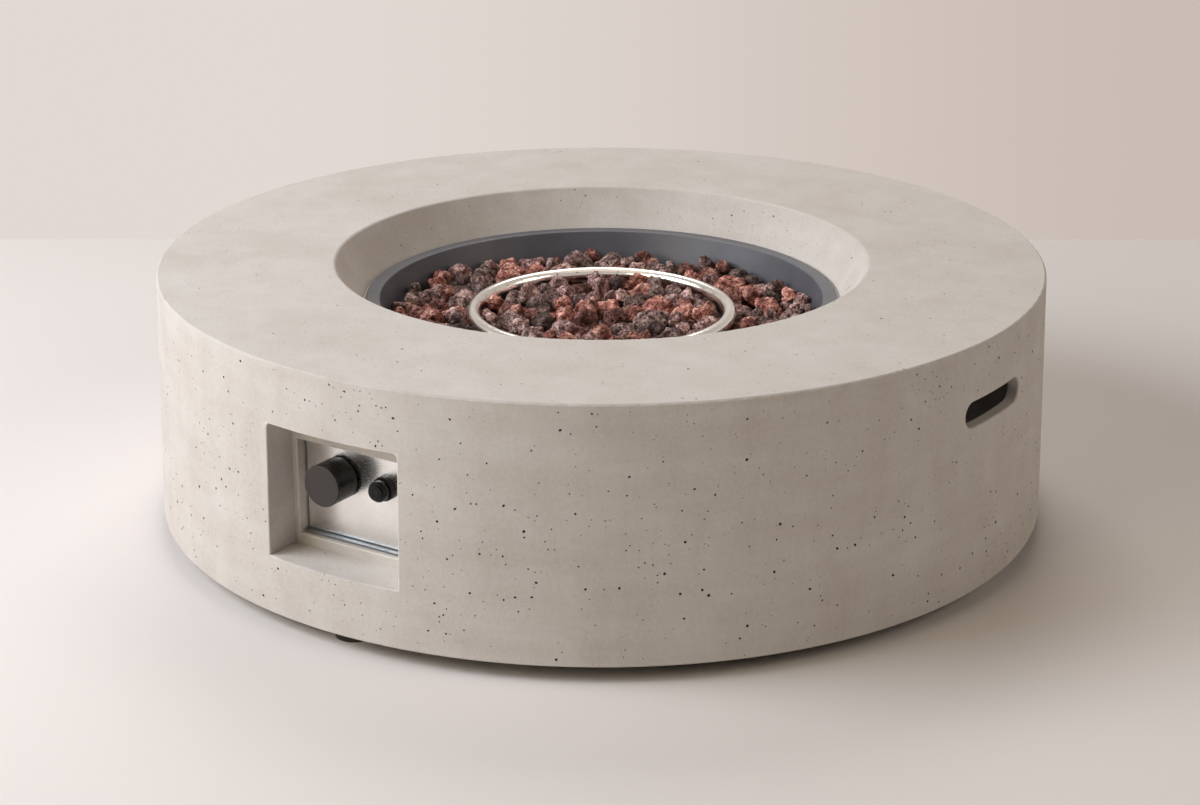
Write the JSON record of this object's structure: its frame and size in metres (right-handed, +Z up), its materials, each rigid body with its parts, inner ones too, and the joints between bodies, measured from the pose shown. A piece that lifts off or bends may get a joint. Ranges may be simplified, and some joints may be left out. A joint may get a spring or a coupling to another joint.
{
  "type": "fire pit table",
  "caption": "Low round cast concrete gas fire pit table with a lava rock bowl, ring burner, and a recessed panel with valve knob and spark igniter.",
  "frame": {"origin": "on the floor under the middle of the table", "axes": "+Z up, -Y towards the side with the controls, hand slots at +X and -X"},
  "size_m": [1.0668, 1.0668, 0.308],
  "materials": {
    "concrete": "cast concrete, fine pores, matt",
    "foot_rubber": "black rubber",
    "zinc_steel": "zinc plated steel",
    "brass": "turned brass",
    "pan_steel": "dark satin heat resistant coat",
    "burner_steel": "polished stainless steel",
    "panel_steel": "bright brushed stainless sheet",
    "valve_alloy": "die cast aluminium",
    "magnet_metal": "nickel plated",
    "hose_cover": "black rubber hose",
    "black_plastic": "black, knob face satin",
    "housing_plastic": "black moulded plastic",
    "nylon": "white nylon",
    "battery_jacket": "plain dark jacket",
    "white_ceramic": "white glazed ceramic",
    "probe_steel": "heat tinted steel",
    "lead_silicone": "red silicone rubber",
    "lead_copper": "copper capillary",
    "rock_red": "brick red porous lava rock",
    "rock_mauve": "mauve brown porous lava rock",
    "rock_grey": "dark grey porous lava rock"
  },
  "bodies": {
    "root": {"concrete_body": "concrete", "foot_pad_1": "foot_rubber", "foot_pad_2": "foot_rubber", "foot_pad_3": "foot_rubber", "foot_pad_4": "foot_rubber", "foot_screws": "zinc_steel", "foot_inserts": "brass", "burner_pan": "pan_steel", "burner_ring": "burner_steel", "burner_locknuts": "brass", "air_mixer": "zinc_steel", "orifice_elbow": "brass", "gas_hose": "hose_cover", "hose_nuts": "brass", "hose_ferrules": "zinc_steel", "panel_tray": "panel_steel", "tray_plugs": "nylon", "tray_screws": "zinc_steel", "control_panel": "panel_steel", "panel_nuts": "zinc_steel", "valve_body": "valve_alloy", "valve_nut": "brass", "safety_magnet": "magnet_metal", "gas_inlet_fitting": "brass", "outlet_fitting": "brass", "valve_spring": "burner_steel", "igniter_spring": "burner_steel", "igniter_collar": "black_plastic", "igniter_housing": "housing_plastic", "igniter_nut": "zinc_steel", "igniter_battery": "battery_jacket", "igniter_end_cap": "housing_plastic", "electrode_insulator": "white_ceramic", "electrode_tip": "probe_steel", "thermocouple": "probe_steel", "probe_brackets": "zinc_steel", "bracket_screws": "zinc_steel", "ignition_lead": "lead_silicone", "thermocouple_lead": "lead_copper", "lava_rocks_red": "rock_red", "lava_rocks_mauve": "rock_mauve", "lava_rocks_grey": "rock_grey"},
    "push_rod": {"push_pin": "burner_steel"},
    "knob": {"control_knob": "black_plastic", "knob_clip": "zinc_steel", "valve_stem": "burner_steel"},
    "plug": {"valve_plug": "brass"},
    "button": {"igniter_button": "black_plastic"},
    "shutter": {"air_shutter": "zinc_steel"}
  },
  "joints": [
    {"name": "knob_push", "type": "slide", "parent": "root", "child": "push_rod", "axis": [0, 1, 0], "range_m": [0, 0.003], "stiffness_N_per_m": 900, "deforming": ["valve_spring"]},
    {"name": "knob_turn", "type": "hinge", "parent": "push_rod", "child": "knob", "pos_m": [-0.03, -0.4665, 0.1704], "axis": [0, -1, 0], "range_deg": [0, 180]},
    {"name": "plug_turn", "type": "hinge", "parent": "root", "child": "plug", "pos_m": [-0.03, -0.4665, 0.1704], "axis": [0, -1, 0], "range_deg": [0, 180]},
    {"name": "igniter_push", "type": "slide", "parent": "root", "child": "button", "axis": [0, 1, 0], "range_m": [0, 0.002], "stiffness_N_per_m": 900, "deforming": ["igniter_spring"]},
    {"name": "shutter_turn", "type": "hinge", "parent": "root", "child": "shutter", "pos_m": [0, 0, 0.15], "axis": [0, 0, 1], "range_deg": [0, 40]}
  ],
  "couplings": [
    {"joint": "plug_turn", "follows": "knob_turn", "ratio": 1}
  ]
}
